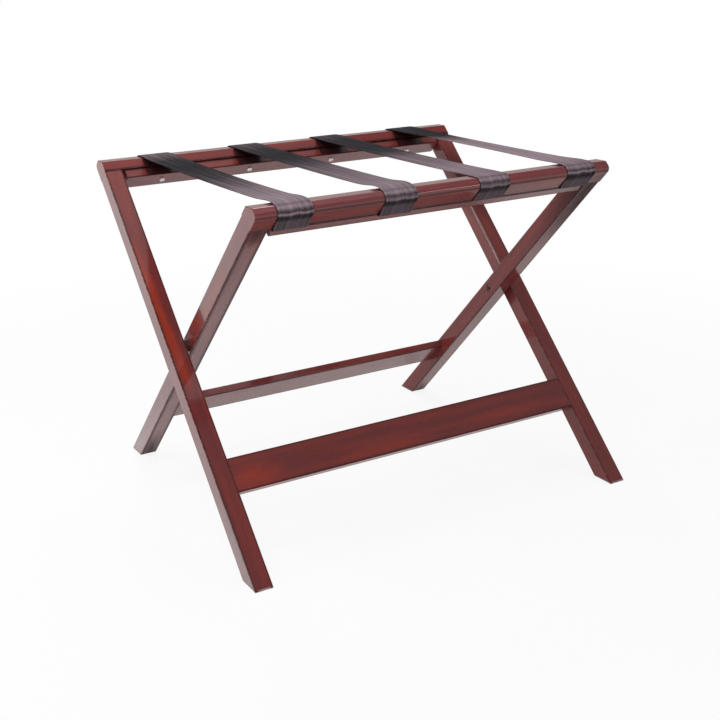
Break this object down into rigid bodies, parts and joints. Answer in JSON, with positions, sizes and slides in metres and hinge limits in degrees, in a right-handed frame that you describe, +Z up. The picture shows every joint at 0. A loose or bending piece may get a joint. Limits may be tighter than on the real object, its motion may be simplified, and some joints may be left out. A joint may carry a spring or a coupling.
{
  "type": "folding luggage rack",
  "caption": "Folding luggage rack: crossed wooden frames that pivot on bolts, with webbing straps across the top rails to carry a suitcase.",
  "frame": {"origin": "on the floor, midway between the four feet, under the pivot axis, with the rack open", "axes": "+X along the top rails to the right, +Y to the back, +Z up"},
  "size_m": [0.6, 0.5034, 0.4709],
  "materials": {
    "lacquered_wood": "mahogany stained hardwood under clear gloss lacquer",
    "black_webbing": "woven black webbing with lengthwise ribs",
    "zinc_screw": "bright zinc plated",
    "black_bolt": "black oxide",
    "brass_insert": "turned",
    "nylon_spacer": "moulded black nylon"
  },
  "bodies": {
    "outer_frame": {"outer_leg_left": "lacquered_wood", "outer_leg_right": "lacquered_wood", "back_top_rail": "lacquered_wood", "back_clamp_strip": "lacquered_wood", "front_lower_board": "lacquered_wood", "back_clamp_screws": "zinc_screw", "pivot_bolt_left": "black_bolt", "pivot_bolt_right": "black_bolt", "pivot_insert_left": "brass_insert", "pivot_insert_right": "brass_insert", "pivot_spacer_left": "nylon_spacer", "pivot_spacer_right": "nylon_spacer", "webbing_strap_1": "black_webbing", "webbing_strap_2": "black_webbing", "webbing_strap_3": "black_webbing", "webbing_strap_4": "black_webbing"},
    "inner_frame": {"inner_leg_left": "lacquered_wood", "inner_leg_right": "lacquered_wood", "front_top_rail": "lacquered_wood", "front_clamp_strip": "lacquered_wood", "back_lower_board": "lacquered_wood", "front_clamp_screws": "zinc_screw"}
  },
  "joints": [
    {"name": "fold", "type": "hinge", "parent": "outer_frame", "child": "inner_frame", "pos_m": [0, 0, 0.2416], "axis": [-1, 0, 0], "range_deg": [0, 80], "deforming": ["webbing_strap_1", "webbing_strap_2", "webbing_strap_3", "webbing_strap_4"]}
  ]
}
